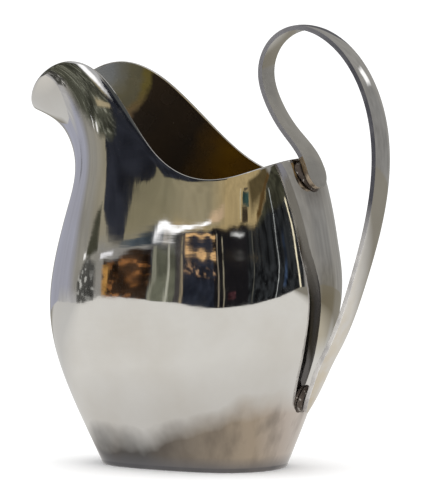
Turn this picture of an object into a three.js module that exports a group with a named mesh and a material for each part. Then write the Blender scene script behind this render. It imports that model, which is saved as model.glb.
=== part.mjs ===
// A plain silver milk jug: a swelling oval body with a broad scooped lip, a flat soldered base
// and a high strap handle. Millimetres, +Z up. The origin is the middle of the base's underside,
// the lip points to -X and the handle to +X. The jug is the same on both sides of the XZ plane.

import * as THREE from "three";

// Sheet and solder
const WALL = 0.75;
const BASE_PLATE_THICKNESS = 1.4;
const BASE_EDGE_ROUNDING = 0.6;
const SOLDER_CLEARANCE = 0.15;
const RIM_ROUNDING = 0.25;

// Oval sections of the lower body, each with its reach to the front and back and its half width.
const BASE_FRONT = 31.2;
const BASE_BACK = 29.9;
const BASE_HALF_WIDTH = 20;
const FLANK_HEIGHT = 24;
const FLANK_FRONT = 41.9;
const FLANK_BACK = 38.5;
const FLANK_HALF_WIDTH = 27.6;
const BELLY_HEIGHT = 54;
const BELLY_FRONT = 48;
const BELLY_BACK = 46.8;
const BELLY_HALF_WIDTH = 31.5;

// How much fuller than an ellipse the sections are at their corners, and how much blunter at the back.
const CORNER_FULLNESS_SHARE = 0.07;
const BACK_FULLNESS_SHARE = 0.05;

// Upper sections lie between the belly and the rim: how far they have leaned over to the rim's outline,
// how far they have risen to it, and the reach to which they are pressed in at the front.
const SHOULDER_LEAN_SHARE = 0.18;
const SHOULDER_RISE_SHARE = 0.4;
const SHOULDER_FRONT = 40.9;
const THROAT_LEAN_SHARE = 0.48;
const THROAT_RISE_SHARE = 0.7;
const THROAT_FRONT = 38.6;
const LIP_ROOT_LEAN_SHARE = 0.74;
const LIP_ROOT_RISE_SHARE = 0.88;
const LIP_ROOT_FRONT = 45;
const PRESS_POWER = 3.5;

// The rim, from the back round to the tip of the lip: place along X, half width and height.
const RIM_BACK = 38.4;
const RIM_BACK_HEIGHT = 96.4;
const RIM_CORNER_X = 33.2;
const RIM_CORNER_HALF_WIDTH = 20.6;
const RIM_CORNER_HEIGHT = 93.4;
const RIM_DIP_X = 21;
const RIM_DIP_HALF_WIDTH = 27.8;
const RIM_DIP_HEIGHT = 90.2;
const RIM_SIDE_X = 0;
const RIM_SIDE_HALF_WIDTH = 26.9;
const RIM_SIDE_HEIGHT = 98.9;
const NECK_X = -11;
const NECK_HALF_WIDTH = 22.8;
const NECK_HEIGHT = 110.5;
const WAIST_X = -21;
const WAIST_HALF_WIDTH = 19.2;
const WAIST_HEIGHT = 120.4;
const CREST_X = -36;
const CREST_HALF_WIDTH = 16.2;
const CREST_HEIGHT = 126.2;
const LIP_CORNER_X = -50.8;
const LIP_CORNER_HALF_WIDTH = 12.4;
const LIP_CORNER_HEIGHT = 118.9;
const LIP_FRONT = 56.7;
const LIP_HEIGHT = 110.9;

// Strap handle: its widths, thickness and ends, and the points that its middle line passes in the
// XZ plane, measured up from the back of the rim and out from the back of the rim (the stem's) or of
// the belly (the loop's).
const STRAP_THICKNESS = 1.7;
const STRAP_CROWN = 0.3;
const STRAP_BEVEL = 0.3;
const TONGUE_WIDTH = 13.2;
const STEM_WIDTH = 10.1;
const GRIP_WIDTH = 9.8;
const FOOT_WIDTH = 7.6;
const TONGUE_LENGTH = 9.6;
const FOOT_TIP_HEIGHT = 19.2;
const FOOT_LENGTH = 7.5;
const FOOT_LIFT = 0.6;
const TONGUE_ROUNDING = 6;
const FOOT_ROUNDING = 20;
const STRAP_TIP_SHARE = 0.3;
const STEM_POINTS = [
  [-4.8, 8.2],
  [-11.1, 17.9],
  [-13.4, 26.6],
];
const LOOP_POINTS = [
  [-18.4, 35.8],
  [-9.8, 40.3],
  [0.8, 37.2],
  [10.5, 27.4],
  [15.8, 15.6],
  [17.9, 1.1],
  [15.7, -18.4],
  [10, -38.1],
  [2.4, -56.9],
  [-1, -63.1],
];

// Solder under the handle's two ends and round the inside of the base. Flare is how much wider
// than an oval a pad grows towards its top.
const UPPER_SOLDER_THICKNESS = 0.4;
const UPPER_SOLDER_SIDE = 1;
const UPPER_SOLDER_TIP = 0.6;
const UPPER_SOLDER_FLARE_SHARE = 0.25;
const LOWER_SOLDER_THICKNESS = 1.3;
const LOWER_SOLDER_HALF_WIDTH = 3;
const LOWER_SOLDER_TIP = 1.2;
const BASE_SOLDER_LEG = 1.6;

// Facets
const AROUND = 64;
const ROWS_BELOW_BELLY = 11;
const ROWS_ABOVE_BELLY = 15;
const STRAP_STEPS = 72;
const PAD_AROUND = 24;
const BASE_EDGE_STEPS = 4;

const UP = new THREE.Vector3(0, 0, 1);

// Natural cubic spline through values at rising knots, as a function of the knot coordinate.
function naturalSpline(knots, values) {
  const last = knots.length - 1;
  const bend = new Array(knots.length).fill(0);
  const carry = new Array(knots.length).fill(0);
  for (let i = 1; i < last; i++) {
    const span = knots[i + 1] - knots[i - 1];
    const share = (knots[i] - knots[i - 1]) / span;
    const slopeBefore = (values[i] - values[i - 1]) / (knots[i] - knots[i - 1]);
    const slopeAfter = (values[i + 1] - values[i]) / (knots[i + 1] - knots[i]);
    const pivot = share * bend[i - 1] + 2;
    bend[i] = (share - 1) / pivot;
    carry[i] = ((6 * (slopeAfter - slopeBefore)) / span - share * carry[i - 1]) / pivot;
  }
  for (let i = last - 1; i > 0; i--) {
    bend[i] = bend[i] * bend[i + 1] + carry[i];
  }
  return (at) => {
    let i = 0;
    while (i < last - 1 && at > knots[i + 1]) i++;
    const step = knots[i + 1] - knots[i];
    const a = (knots[i + 1] - at) / step;
    const b = 1 - a;
    const curve = (a ** 3 - a) * bend[i] + (b ** 3 - b) * bend[i + 1];
    return a * values[i] + b * values[i + 1] + (curve * step * step) / 6;
  };
}

// Spline over the half turn from back (0) to front (pi), carried on past both ends by mirroring,
// so that it is smooth across the plane of symmetry. Side is -1 for a width and 1 for a height.
function mirroredSpline(angles, values, side) {
  const last = angles.length - 1;
  const turn = 2 * Math.PI;
  const knots = [-angles[2], -angles[1], ...angles, turn - angles[last - 1], turn - angles[last - 2]];
  const mirrored = (i) => side * values[i];
  return naturalSpline(knots, [mirrored(2), mirrored(1), ...values, mirrored(last - 1), mirrored(last - 2)]);
}

// Place along X of a section that reaches to front and back, at an angle from the back.
function alongSection(front, back, angle) {
  return (back - front) / 2 + ((back + front) / 2) * Math.cos(angle);
}

// Half width of a plain section at an angle from the back, as a share of its greatest half width.
function ovalWidth(angle) {
  const corner = CORNER_FULLNESS_SHARE * Math.sin(3 * angle);
  const back = BACK_FULLNESS_SHARE * Math.sin(2 * angle);
  return (Math.sin(angle) + corner + back) / (1 - CORNER_FULLNESS_SHARE);
}

// The rim's half width and height as functions of the angle from the back.
function makeRim() {
  const points = [
    [RIM_BACK, 0, RIM_BACK_HEIGHT],
    [RIM_CORNER_X, RIM_CORNER_HALF_WIDTH, RIM_CORNER_HEIGHT],
    [RIM_DIP_X, RIM_DIP_HALF_WIDTH, RIM_DIP_HEIGHT],
    [RIM_SIDE_X, RIM_SIDE_HALF_WIDTH, RIM_SIDE_HEIGHT],
    [NECK_X, NECK_HALF_WIDTH, NECK_HEIGHT],
    [WAIST_X, WAIST_HALF_WIDTH, WAIST_HEIGHT],
    [CREST_X, CREST_HALF_WIDTH, CREST_HEIGHT],
    [LIP_CORNER_X, LIP_CORNER_HALF_WIDTH, LIP_CORNER_HEIGHT],
    [-LIP_FRONT, 0, LIP_HEIGHT],
  ];
  const middle = (RIM_BACK - LIP_FRONT) / 2;
  const half = (RIM_BACK + LIP_FRONT) / 2;
  const angles = points.map(([x]) => Math.acos(THREE.MathUtils.clamp((x - middle) / half, -1, 1)));
  const widths = points.map(([, y]) => y);
  const heights = points.map(([, , z]) => z);
  return { halfWidth: mirroredSpline(angles, widths, -1), height: mirroredSpline(angles, heights, 1) };
}

const rim = makeRim();

// The sections from the base up. Knot is the place on the way from base (0) to rim (1).
const BELLY_KNOT = 0.5;
const BELLY = {
  knot: BELLY_KNOT, front: BELLY_FRONT, back: BELLY_BACK, side: BELLY_HALF_WIDTH, height: BELLY_HEIGHT,
};
const LOWER_SECTIONS = [
  { knot: 0, front: BASE_FRONT, back: BASE_BACK, side: BASE_HALF_WIDTH, height: BASE_PLATE_THICKNESS },
  { knot: 0.23, front: FLANK_FRONT, back: FLANK_BACK, side: FLANK_HALF_WIDTH, height: FLANK_HEIGHT },
  BELLY,
];
const UPPER_SECTIONS = [
  { knot: 0.69, front: SHOULDER_FRONT, lean: SHOULDER_LEAN_SHARE, rise: SHOULDER_RISE_SHARE },
  { knot: 0.84, front: THROAT_FRONT, lean: THROAT_LEAN_SHARE, rise: THROAT_RISE_SHARE },
  { knot: 0.91, front: LIP_ROOT_FRONT, lean: LIP_ROOT_LEAN_SHARE, rise: LIP_ROOT_RISE_SHARE },
];
const KNOTS = [...LOWER_SECTIONS.map(({ knot }) => knot), ...UPPER_SECTIONS.map(({ knot }) => knot), 1];

function lowerPoint({ front, back, side, height }, angle) {
  return new THREE.Vector3(alongSection(front, back, angle), side * ovalWidth(angle), height);
}

function rimPoint(angle) {
  return new THREE.Vector3(alongSection(LIP_FRONT, RIM_BACK, angle), rim.halfWidth(angle), rim.height(angle));
}

// A point of an upper section, on the way from the belly to the rim and pressed in towards the front.
function upperPoint({ front, lean, rise }, angle) {
  const belly = lowerPoint(BELLY, angle);
  const way = rimPoint(angle).sub(belly);
  const unpressed = BELLY_FRONT + lean * (LIP_FRONT - BELLY_FRONT);
  const press = (unpressed - front) * ((1 - Math.cos(angle)) / 2) ** PRESS_POWER;
  return belly.add(new THREE.Vector3(lean * way.x + press, lean * way.y, rise * way.z));
}

// The body's outer line from base to rim at one angle, as a function of the level from 0 to 1.
function meridian(signedAngle) {
  const angle = Math.abs(signedAngle);
  const side = Math.sign(signedAngle);
  const lower = LOWER_SECTIONS.map((section) => lowerPoint(section, angle));
  const upper = UPPER_SECTIONS.map((section) => upperPoint(section, angle));
  const points = [...lower, ...upper, rimPoint(angle)];
  const [x, y, z] = ["x", "y", "z"].map((axis) => naturalSpline(KNOTS, points.map((point) => point[axis])));
  return (level) => new THREE.Vector3(x(level), side * y(level), z(level));
}

// A point of the body's outer face with its outward normal and its direction up the wall.
function wallPoint(angle, level) {
  const nudge = 1e-4;
  const line = meridian(angle);
  const around = meridian(angle + nudge)(level).sub(meridian(angle - nudge)(level));
  const up = line(Math.min(1, level + nudge)).sub(line(Math.max(0, level - nudge))).normalize();
  const normal = around.cross(up).normalize();
  return { point: line(level), normal, up };
}

// Where a rising function reaches a value, between low and high.
function solve(rising, value, low, high) {
  for (let i = 0; i < 40; i++) {
    const middle = (low + high) / 2;
    if (rising(middle) < value) low = middle;
    else high = middle;
  }
  return (low + high) / 2;
}

// Level at which the wall's middle line at the back stands at a height.
function backLevel(height) {
  const line = meridian(0);
  return solve((level) => line(level).z, height, 0, 1);
}

// Closed solid through rings of equally many points. Joined solids run back into their first ring,
// the others are closed by a fan over each end ring.
function loft(rings, joined) {
  const count = rings[0].length;
  const positions = rings.flat().flatMap((point) => [point.x, point.y, point.z]);
  const faces = [];
  const bands = joined ? rings.length : rings.length - 1;
  for (let r = 0; r < bands; r++) {
    const next = (r + 1) % rings.length;
    for (let i = 0; i < count; i++) {
      const j = (i + 1) % count;
      const corners = [r * count + i, r * count + j, next * count + j, next * count + i];
      faces.push(corners[0], corners[1], corners[2], corners[0], corners[2], corners[3]);
    }
  }
  if (!joined) {
    const ends = [rings[0], rings[rings.length - 1]];
    ends.forEach((ring, end) => {
      const middle = ring.reduce((sum, point) => sum.add(point), new THREE.Vector3()).divideScalar(count);
      const hub = positions.length / 3;
      const start = end === 0 ? 0 : (rings.length - 1) * count;
      positions.push(middle.x, middle.y, middle.z);
      for (let i = 0; i < count; i++) {
        const j = (i + 1) % count;
        if (end === 0) faces.push(hub, start + j, start + i);
        else faces.push(hub, start + i, start + j);
      }
    });
  }
  const geometry = new THREE.BufferGeometry();
  geometry.setAttribute("position", new THREE.Float32BufferAttribute(positions, 3));
  geometry.setIndex(faces);
  geometry.computeVertexNormals();
  return geometry;
}

// Angles of the columns round the body, from the back, evenly spaced.
const COLUMN_ANGLES = Array.from({ length: AROUND }, (_, i) => -Math.PI + ((i + 1) * 2 * Math.PI) / AROUND);

// Levels of the body's rows from base to rim.
function rowLevels() {
  const levels = [];
  for (let i = 0; i < ROWS_BELOW_BELLY; i++) {
    levels.push((BELLY_KNOT * i) / ROWS_BELOW_BELLY);
  }
  for (let i = 0; i <= ROWS_ABOVE_BELLY; i++) {
    levels.push(BELLY_KNOT + ((1 - BELLY_KNOT) * i) / ROWS_ABOVE_BELLY);
  }
  return levels;
}

// A point of the wall's inner face. The bottom edge stays flat on the base plate.
function innerPoint(angle, level) {
  const { point, normal } = wallPoint(angle, level);
  if (level > 0) return point.addScaledVector(normal, -WALL);
  const levelNormal = normal.projectOnPlane(UP);
  return point.addScaledVector(levelNormal, -WALL / levelNormal.lengthSq());
}

// The raised sheet body: outer face up, round the rim and down the inner face, open at the bottom.
function bodyShell() {
  const levels = rowLevels();
  const outer = levels.map((level) => COLUMN_ANGLES.map((angle) => wallPoint(angle, level).point));
  const edge = COLUMN_ANGLES.map((angle) => {
    const { point, normal, up } = wallPoint(angle, 1);
    return point.addScaledVector(normal, -WALL / 2).addScaledVector(up, RIM_ROUNDING);
  });
  const inner = levels.map((level) => COLUMN_ANGLES.map((angle) => innerPoint(angle, level))).reverse();
  return loft([...outer, edge, ...inner], true);
}

// The flat oval plate that the body stands on, flush with the body's foot and rounded off below.
function basePlate() {
  const ring = (inset, height) =>
    COLUMN_ANGLES.map((angle) => {
      const { point, normal } = wallPoint(angle, 0);
      const outward = normal.projectOnPlane(UP).normalize();
      return point.addScaledVector(outward, -inset).setZ(height);
    });
  const rings = [];
  for (let i = 0; i <= BASE_EDGE_STEPS; i++) {
    const turn = (i * Math.PI) / (2 * BASE_EDGE_STEPS);
    rings.push(ring(BASE_EDGE_ROUNDING * (1 - Math.sin(turn)), BASE_EDGE_ROUNDING * (1 - Math.cos(turn))));
  }
  rings.push(ring(0, BASE_PLATE_THICKNESS));
  return loft(rings, false);
}

// The bead of solder in the corner between the base plate and the wall, inside the jug.
function baseSolder() {
  const top = backLevel(BASE_PLATE_THICKNESS + BASE_SOLDER_LEG);
  const sections = COLUMN_ANGLES.map((angle) => {
    const { normal } = wallPoint(angle, 0);
    const inward = normal.projectOnPlane(UP).normalize().negate();
    const corner = innerPoint(angle, 0).addScaledVector(inward, SOLDER_CLEARANCE);
    const high = innerPoint(angle, top).addScaledVector(inward, SOLDER_CLEARANCE);
    const low = corner.clone().addScaledVector(inward, BASE_SOLDER_LEG);
    return [corner, low, high];
  });
  return loft(sections, true);
}

// A point of the jug's middle plane that stands off the back wall at a level.
function offBack(level, distance) {
  const { point, normal } = wallPoint(0, level);
  return point.addScaledVector(normal, distance);
}

// Middle line of the strap in the XZ plane with its knots, from the tongue's tip to the foot's tip.
function strapLine() {
  const seat = (height, solder) =>
    offBack(backLevel(height), 2 * SOLDER_CLEARANCE + solder + STRAP_THICKNESS / 2);
  const tongue = [1, 0.5, 0].map((share) =>
    seat(RIM_BACK_HEIGHT - share * TONGUE_LENGTH, UPPER_SOLDER_THICKNESS));
  const foot = [1, 0.5, 0].map((share) =>
    seat(FOOT_TIP_HEIGHT + share * FOOT_LENGTH, LOWER_SOLDER_THICKNESS + share * FOOT_LIFT));
  const stem = STEM_POINTS.map(([out, up]) =>
    new THREE.Vector3(RIM_BACK + out, 0, RIM_BACK_HEIGHT + up));
  const loop = LOOP_POINTS.map(([out, up]) =>
    new THREE.Vector3(BELLY_BACK + out, 0, RIM_BACK_HEIGHT + up));
  const points = [...tongue, ...stem, ...loop, ...foot];
  const knots = [0];
  for (let i = 1; i < points.length; i++) {
    knots.push(knots[i - 1] + points[i].distanceTo(points[i - 1]));
  }
  const x = naturalSpline(knots, points.map((point) => point.x));
  const z = naturalSpline(knots, points.map((point) => point.z));
  return { at: (run) => new THREE.Vector3(x(run), 0, z(run)), length: knots[knots.length - 1] };
}

// The strap: flat inside the loop, crowned outside, flared at the tongue and tapered to the foot, with
// both ends rounded off.
function handleStrap() {
  const { at, length } = strapLine();
  const widthPlaces = [0, 2 * TONGUE_LENGTH, length / 2, length];
  const widths = naturalSpline(widthPlaces, [TONGUE_WIDTH, STEM_WIDTH, GRIP_WIDTH, FOOT_WIDTH]);
  const nudge = 0.01;
  const rings = [];
  for (let i = 0; i <= STRAP_STEPS; i++) {
    const run = (length * i) / STRAP_STEPS;
    const before = at(Math.max(0, run - nudge));
    const along = at(Math.min(length, run + nudge)).sub(before).normalize();
    const outward = new THREE.Vector3(-along.z, 0, along.x);
    const nearTongueTip = Math.max(0, 1 - run / TONGUE_ROUNDING);
    const nearFootTip = Math.max(0, 1 - (length - run) / FOOT_ROUNDING);
    const rounding = Math.sqrt(1 - Math.max(nearTongueTip, nearFootTip) ** 2);
    const width = widths(run) * Math.max(STRAP_TIP_SHARE, rounding);
    rings.push(strapRing(at(run), outward, width));
  }
  return loft(rings, false);
}

// One section of the strap, with the crown on its outer face and its four long edges bevelled.
function strapRing(middle, outward, width) {
  const half = width / 2;
  const flat = half - STRAP_BEVEL;
  const inside = -STRAP_THICKNESS / 2;
  const outside = STRAP_THICKNESS / 2;
  const place = (across, depth) =>
    new THREE.Vector3(0, across, 0).add(middle).addScaledVector(outward, depth);
  const crowned = (across) => outside - STRAP_CROWN * (across / half) ** 2;
  const edge = (across) => [
    place(across, inside + STRAP_BEVEL),
    place(across, crowned(half) - STRAP_BEVEL),
  ];
  const innerFace = [1, 0.5, 0, -0.5, -1].map((share) => place(share * flat, inside));
  const outerShares = [-1, -0.7, -0.35, 0, 0.35, 0.7, 1];
  const outerFace = outerShares.map((share) => place(share * flat, crowned(share * flat)));
  return [...innerFace, ...edge(-half), ...outerFace, ...edge(half).reverse()].reverse();
}

// A pad of solder that fills the gap between the rounded back wall and a flat strap end.
function solderPad(lowHeight, highHeight, halfWidth, thickness, flare) {
  const lowLevel = backLevel(lowHeight);
  const highLevel = backLevel(highHeight);
  const middleLevel = (lowLevel + highLevel) / 2;
  const halfLevel = (highLevel - lowLevel) / 2;
  const halfAngle = solve((angle) => meridian(angle)(middleLevel).y, halfWidth, 0, Math.PI / 3);
  const underShares = [0.35, 0.7, 1];
  const overShares = [0.85, 0.55, 0.25];
  const ring = (share, place) =>
    Array.from({ length: PAD_AROUND }, (_, i) => {
      const turn = (i * 2 * Math.PI) / PAD_AROUND;
      const flaring = 1 + flare * Math.sin(turn);
      const angle = share * halfAngle * Math.cos(turn) * flaring;
      return place(angle, middleLevel + share * halfLevel * Math.sin(turn));
    });
  const onWall = (angle, level) => {
    const { point, normal } = wallPoint(angle, level);
    return point.addScaledVector(normal, SOLDER_CLEARANCE);
  };
  const underStrap = (angle, level) =>
    offBack(level, SOLDER_CLEARANCE + thickness).setY(onWall(angle, level).y);
  const under = underShares.map((share) => ring(share, onWall));
  const over = overShares.map((share) => ring(share, underStrap));
  return loft([...under, ...over], false);
}

function upperSolder() {
  return solderPad(
    RIM_BACK_HEIGHT - TONGUE_LENGTH - UPPER_SOLDER_TIP,
    RIM_BACK_HEIGHT - UPPER_SOLDER_TIP,
    TONGUE_WIDTH / 2 + UPPER_SOLDER_SIDE,
    UPPER_SOLDER_THICKNESS,
    UPPER_SOLDER_FLARE_SHARE,
  );
}

function lowerSolder() {
  return solderPad(
    FOOT_TIP_HEIGHT - LOWER_SOLDER_TIP,
    FOOT_TIP_HEIGHT + FOOT_LENGTH,
    LOWER_SOLDER_HALF_WIDTH,
    LOWER_SOLDER_THICKNESS,
    0,
  );
}

const polishedSilver = new THREE.MeshStandardMaterial({ color: 0xcfccc6, roughness: 0.14, metalness: 1 });
const wornSilver = new THREE.MeshStandardMaterial({ color: 0xb9b4ab, roughness: 0.3, metalness: 1 });
const darkSolder = new THREE.MeshStandardMaterial({ color: 0x6f6960, roughness: 0.45, metalness: 1 });

const jug = new THREE.Group();
const pieces = [
  ["body_shell", bodyShell(), polishedSilver],
  ["base_plate", basePlate(), wornSilver],
  ["handle_strap", handleStrap(), polishedSilver],
  ["upper_handle_solder", upperSolder(), darkSolder],
  ["lower_handle_solder", lowerSolder(), darkSolder],
  ["base_solder_seam", baseSolder(), darkSolder],
];
for (const [name, geometry, material] of pieces) {
  const mesh = new THREE.Mesh(geometry, material);
  mesh.name = name;
  jug.add(mesh);
}

export default jug;
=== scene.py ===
"""The finished surfaces of a plain silver milk jug, on a pale floor in a studio of plain cards."""

import math
from collections import namedtuple

import bpy
import numpy as np
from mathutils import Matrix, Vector, noise


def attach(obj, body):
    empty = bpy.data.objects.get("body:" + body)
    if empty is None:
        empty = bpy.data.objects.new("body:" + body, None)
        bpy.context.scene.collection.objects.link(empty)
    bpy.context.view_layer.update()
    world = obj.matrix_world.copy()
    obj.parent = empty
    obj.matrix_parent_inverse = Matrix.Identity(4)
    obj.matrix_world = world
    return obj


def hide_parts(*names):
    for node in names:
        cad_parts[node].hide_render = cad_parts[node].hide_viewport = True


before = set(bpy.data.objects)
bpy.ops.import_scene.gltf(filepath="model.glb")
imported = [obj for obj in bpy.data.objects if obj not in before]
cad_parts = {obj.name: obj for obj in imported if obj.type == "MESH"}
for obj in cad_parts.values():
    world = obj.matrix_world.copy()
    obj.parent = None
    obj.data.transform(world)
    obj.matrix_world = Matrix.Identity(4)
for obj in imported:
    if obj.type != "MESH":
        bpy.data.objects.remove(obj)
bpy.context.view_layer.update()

MM = 0.001

# Directions on the jug. Backwards is from the lip to the handle.
UP = (0, 0, 1)
BACKWARDS = (1, 0, 0)
SIDEWAYS = (0, 1, 0)

# Lower sections of the body in millimetres: base, flank and belly. Knot is the place on the way from base
# (0) to rim (1).
Section = namedtuple("Section", "knot front back side height")
LOWER_SECTIONS = [
    Section(0.0, 31.2, 29.9, 20, 1.4),
    Section(0.23, 41.9, 38.5, 27.6, 24),
    Section(0.5, 48, 46.8, 31.5, 54),
]
# Upper sections lie between belly and rim: leaned towards the rim's outline by lean, climbed towards its
# height by rise, and pressed in at the front until they reach out only so far in millimetres.
Upper = namedtuple("Upper", "knot front lean rise")
UPPER_SECTIONS = [
    Upper(0.69, 40.9, 0.18, 0.4),
    Upper(0.84, 38.6, 0.48, 0.7),
    Upper(0.91, 45, 0.74, 0.88),
]
PRESS_NARROWNESS = 3.5
CORNER_FULLNESS = 0.07
BACK_FULLNESS = 0.05

# The rim from the back round to the tip of the lip, in millimetres: place along X, half width, height.
RIM_POINTS = [
    (38.4, 0, 96.4),
    (33.2, 20.6, 93.4),
    (21, 27.8, 90.2),
    (0, 26.9, 98.9),
    (-11, 22.8, 110.5),
    (-21, 19.2, 120.4),
    (-36, 16.2, 126.2),
    (-50.8, 12.4, 118.9),
    (-56.7, 0, 110.9),
]
RIM_BACK_HEIGHT = RIM_POINTS[0][2] * MM

# Sheet and solder. The sloping wall is wider on the level than it is thick by a small factor at its foot.
WALL = 0.75 * MM
WALL_ON_LEVEL = 1.08
SOLDER_CLEARANCE = 0.15 * MM

# The base plate: how far its edge draws in underneath, how full that edge is, and the insets of the rings
# of its flat underside.
BASE_PLATE_THICKNESS = LOWER_SECTIONS[0].height * MM
BASE_EDGE_INSET = 0.9 * MM
BASE_EDGE_FULLNESS = 2 / 3
BASE_RING_INSETS = (12 * MM, 6 * MM, 2.5 * MM)

# Strap handle. The loop's points are measured in millimetres, out from the back of the belly and up
# from the back of the rim.
STRAP_THICKNESS = 1.7 * MM
STRAP_CROWN = 0.3 * MM
STRAP_CROWN_SHARES = (0.7, 0.35, 0, -0.35, -0.7)
STRAP_BEVEL = 0.08 * MM
STRAP_CORNER = 0.035 * MM
STRAP_EDGE_WIDTH = 1.3 * MM
TONGUE_WIDTH = 13.2 * MM
STEM_WIDTH = 10.1 * MM
GRIP_WIDTH = 9.8 * MM
FOOT_WIDTH = 7.6 * MM
TONGUE_LENGTH = 9.6 * MM
FOOT_TIP_HEIGHT = 19.2 * MM
FOOT_LENGTH = 7.5 * MM
FOOT_LIFT = 0.6 * MM
TONGUE_ROUNDING = 6 * MM
FOOT_ROUNDING = 20 * MM
TIP_START_TURN = 0.12
BELLY_BACK = LOWER_SECTIONS[-1].back
LOOP_POINTS = [
    (-13.2, 8.2),
    (-19.5, 17.9),
    (-21.8, 26.6),
    (-18.4, 35.8),
    (-9.8, 40.3),
    (0.8, 37.2),
    (10.5, 27.4),
    (15.8, 15.6),
    (17.9, 1.1),
    (15.7, -18.4),
    (10, -38.1),
    (2.4, -56.9),
    (-1, -63.1),
]

# Solder pads under the handle's ends and the bead inside the base. A pad's rings under and over it are
# shares of its outline, and it narrows by a share as it rises in a hollow curve.
UPPER_SOLDER_THICKNESS = 0.4 * MM
UPPER_SOLDER_SIDE = 1 * MM
UPPER_SOLDER_TIP = 0.6 * MM
UPPER_SOLDER_FLARE = 0.25
LOWER_SOLDER_THICKNESS = 1.3 * MM
LOWER_SOLDER_HALF_WIDTH = 3 * MM
LOWER_SOLDER_TIP = 1.2 * MM
PAD_UNDER_SHARES = (0.3, 0.65, 0.9)
PAD_OVER_SHARES = (0.6, 0.3)
PAD_NARROWING = 0.16
PAD_HOLLOWNESS = 1.6
BASE_SOLDER_LEG = 1.6 * MM
BEAD_HOLLOWNESS = 0.5

# Unevenness left by the hammer: swells of a finger's breadth and smaller marks inside them, which grow from
# nothing at the base and the rim.
SWELL_LENGTH = 17 * MM
SWELL_DEPTH = 0.05 * MM
SWELL_GROWTH = 12
STRAP_SWELL_LENGTH = 40 * MM
MARK_LENGTH = 7 * MM
MARK_DEPTH = 0.012 * MM
SOLDER_LUMP_LENGTH = 2.2 * MM
SOLDER_LUMP_DEPTH = 0.05 * MM
BEAD_LUMP_LENGTH = 2 * SOLDER_LUMP_LENGTH

# Fineness of the meshes, and the angle from which an edge is shaded as a corner
COLUMNS = 224
ROWS = 120
RIM_STEPS = 8
STRAP_STEPS = 200
TIP_STEPS = 12
PAD_COLUMNS = 72
PAD_STEPS = 6
BEAD_STEPS = 6
CORNER_ANGLE = math.radians(40)

# Places of the finishes in a piece's list of materials
BODY_INSIDE = 1
STRAP_OUTSIDE, STRAP_INSIDE, STRAP_TONGUE, STRAP_EDGE = range(4)

# The photograph's view: it looks at the jug from the handle's side of straight on.
VIEW_AZIMUTH = math.radians(29)
CAMERA_DISTANCE = 1.19
CAMERA_HEIGHT = 0.125
IMAGE_WIDTH = 429
IMAGE_HEIGHT = 500
FOCAL_PIXELS = 3812
JUG_AXIS_U = 195
EYE_LEVEL_V = 65.5

# Directions in the studio: azimuth 0 points from the jug to the camera and grows to the camera's right.
TOWARDS_CAMERA = np.array([math.sin(VIEW_AZIMUTH), -math.cos(VIEW_AZIMUTH), 0])
TO_THE_RIGHT = np.array([math.cos(VIEW_AZIMUTH), math.sin(VIEW_AZIMUTH), 0])


def natural_spline(knots, values):
    """Natural cubic spline through values, which may be arrays, at rising knots."""
    knots = np.asarray(knots, float)
    values = np.asarray(values, float)
    count = len(knots)
    steps = np.diff(knots)
    slopes = np.diff(values, axis=0) / steps.reshape(-1, *[1] * (values.ndim - 1))
    system = np.eye(count)
    right = np.zeros_like(values)
    for i in range(1, count - 1):
        system[i, i - 1:i + 2] = steps[i - 1], 2 * (steps[i - 1] + steps[i]), steps[i]
        right[i] = 6 * (slopes[i] - slopes[i - 1])
    bends = np.linalg.solve(system, right.reshape(count, -1)).reshape(values.shape)

    def at(place):
        place = np.asarray(place, float)
        i = np.clip(np.searchsorted(knots, place) - 1, 0, count - 2)
        wide = place.shape + (1,) * (values.ndim - 1)
        step = steps[i].reshape(wide)
        a = ((knots[i + 1] - place) / steps[i]).reshape(wide)
        b = 1 - a
        curve = (a ** 3 - a) * bends[i] + (b ** 3 - b) * bends[i + 1]
        return a * values[i] + b * values[i + 1] + curve * step ** 2 / 6

    return at


def rim_splines():
    """The rim's half width and height over the angle from the back, smooth across the middle plane."""
    x, half_width, height = np.array(RIM_POINTS, float).T
    angles = np.arccos(np.clip((2 * x - x[0] - x[-1]) / (x[0] - x[-1]), -1, 1))
    knots = np.concatenate([-angles[2:0:-1], angles, 2 * math.pi - angles[-2:-4:-1]])

    def mirrored(values, side):
        return np.concatenate([side * values[2:0:-1], values, side * values[-2:-4:-1]])

    return natural_spline(knots, mirrored(half_width, -1)), natural_spline(knots, mirrored(height, 1))


RIM_HALF_WIDTH, RIM_HEIGHT = rim_splines()


def oval_ring(front, back, half_width, height, turn):
    """Points of one level of the body, [angle, xyz], in millimetres."""
    x = (back - front) / 2 + (back + front) / 2 * np.cos(turn)
    return np.stack([x, half_width, height + np.zeros_like(turn)], axis=-1)


def wall_lines(angles):
    """The body's outer lines from base to rim at some angles, as one function of the level, in metres."""
    turn = np.abs(angles)
    oval = np.sin(turn) + CORNER_FULLNESS * np.sin(3 * turn) + BACK_FULLNESS * np.sin(2 * turn)
    oval = oval / (1 - CORNER_FULLNESS)
    rings = [oval_ring(s.front, s.back, s.side * oval, s.height, turn) for s in LOWER_SECTIONS]
    belly = rings[-1]
    belly_front = -LOWER_SECTIONS[-1].front
    rim_back, rim_front = RIM_POINTS[0][0], RIM_POINTS[-1][0]
    rim = oval_ring(-rim_front, rim_back, RIM_HALF_WIDTH(turn), RIM_HEIGHT(turn), turn)
    press = ((1 - np.cos(turn)) / 2) ** PRESS_NARROWNESS
    for section in UPPER_SECTIONS:
        ring = belly + (rim - belly) * (section.lean, section.lean, section.rise)
        unpressed = belly_front + section.lean * (rim_front - belly_front)
        ring[..., 0] += press * (-section.front - unpressed)
        rings.append(ring)
    rings = np.array([*rings, rim]) * MM
    rings[..., 1] *= np.sign(angles)
    knots = [section.knot for section in (*LOWER_SECTIONS, *UPPER_SECTIONS)]
    return natural_spline([*knots, 1], rings)


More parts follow.
